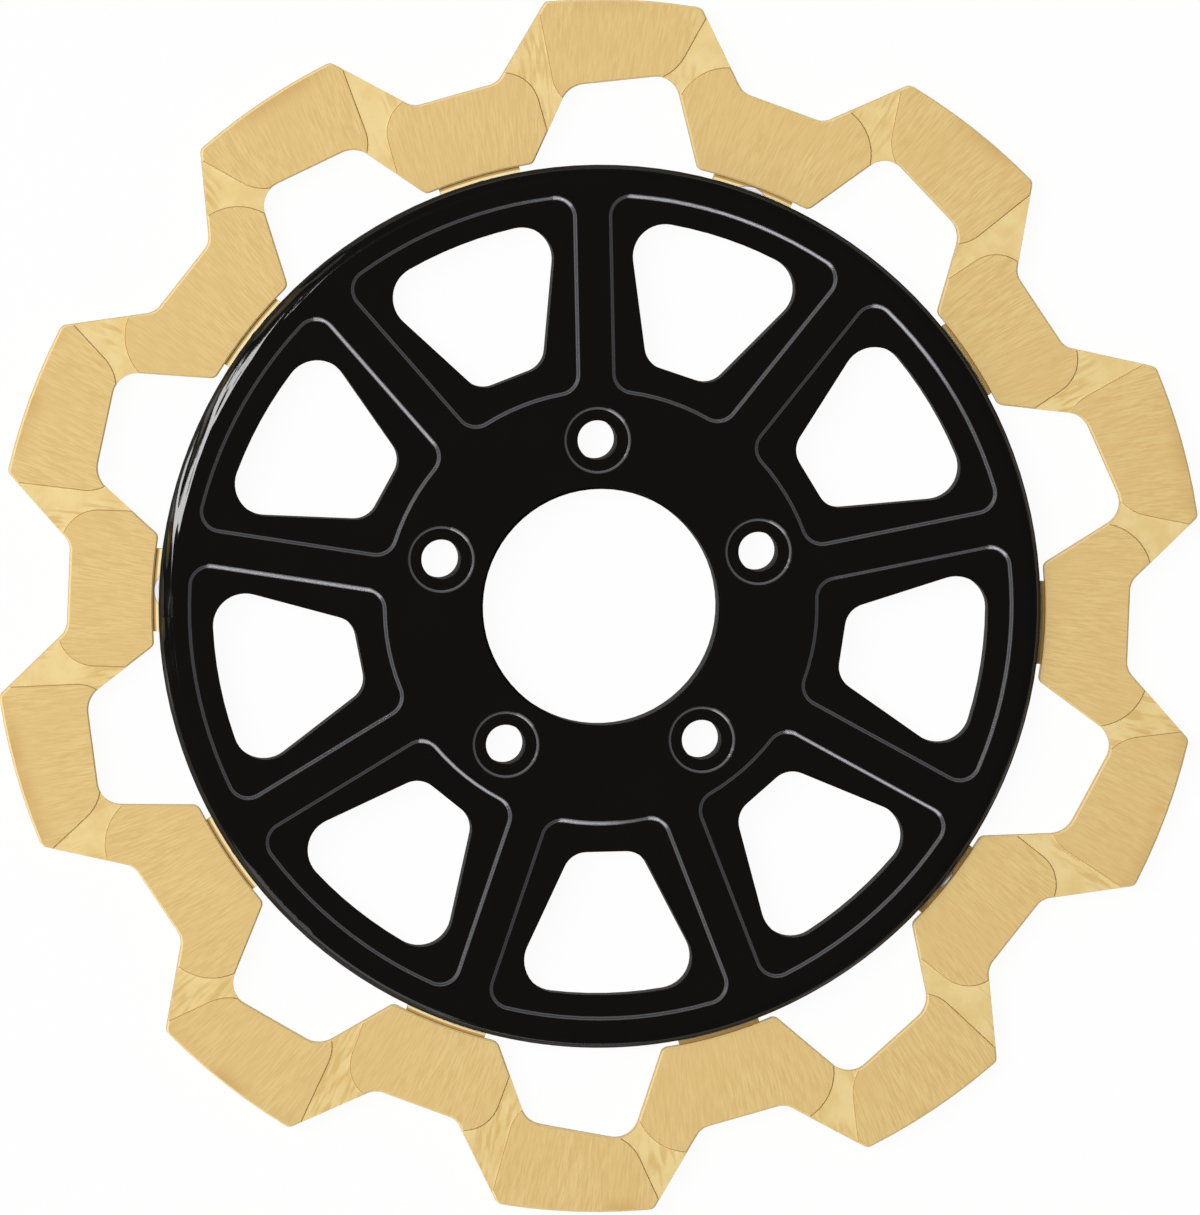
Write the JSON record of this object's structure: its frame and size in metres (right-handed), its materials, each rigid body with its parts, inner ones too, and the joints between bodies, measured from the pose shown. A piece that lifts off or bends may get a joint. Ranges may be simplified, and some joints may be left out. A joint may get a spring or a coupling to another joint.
{
  "type": "brake disc rotor",
  "caption": "Floating brake disc rotor: a black spoked carrier bolts to the hub, and a wave-edged friction ring floats on drive bushes behind its rim.",
  "frame": {"origin": "centre of the bolt circle and the bore, on the face that bolts to the hub", "axes": "+Z along the wheel's axis, out of the wheel, towards the rotor's front; +Y through one bolt hole and one spoke"},
  "size_m": [0.2974, 0.3, 0.0126],
  "materials": {
    "black_anodised_carrier": "gloss black",
    "gold_swept_face": "brushed gold coating",
    "bush_steel": "ground",
    "spring_steel": "satin",
    "washer_steel": "satin",
    "screw_steel": "satin"
  },
  "bodies": {
    "carrier": {"carrier": "black_anodised_carrier", "drive_bush_01": "bush_steel", "drive_bush_02": "bush_steel", "drive_bush_03": "bush_steel", "drive_bush_04": "bush_steel", "drive_bush_05": "bush_steel", "drive_bush_06": "bush_steel", "drive_bush_07": "bush_steel", "drive_bush_08": "bush_steel", "drive_bush_09": "bush_steel", "drive_bush_10": "bush_steel", "retaining_washer_01": "washer_steel", "retaining_washer_02": "washer_steel", "retaining_washer_03": "washer_steel", "retaining_washer_04": "washer_steel", "retaining_washer_05": "washer_steel", "retaining_washer_06": "washer_steel", "retaining_washer_07": "washer_steel", "retaining_washer_08": "washer_steel", "retaining_washer_09": "washer_steel", "retaining_washer_10": "washer_steel", "retaining_screws": "screw_steel", "wave_spring_01": "spring_steel", "wave_spring_02": "spring_steel", "wave_spring_03": "spring_steel", "wave_spring_04": "spring_steel", "wave_spring_05": "spring_steel", "wave_spring_06": "spring_steel", "wave_spring_07": "spring_steel", "wave_spring_08": "spring_steel", "wave_spring_09": "spring_steel", "wave_spring_10": "spring_steel"},
    "friction_ring": {"friction_ring": "gold_swept_face"}
  },
  "joints": [
    {"name": "ring_float", "type": "slide", "parent": "carrier", "child": "friction_ring", "axis": [0, 0, 1], "range_m": [-0.0005, 0], "stiffness_N_per_m": 100000, "springref_m": 0.0003, "deforming": ["wave_spring_01", "wave_spring_02", "wave_spring_03", "wave_spring_04", "wave_spring_05", "wave_spring_06", "wave_spring_07", "wave_spring_08", "wave_spring_09", "wave_spring_10"]}
  ]
}
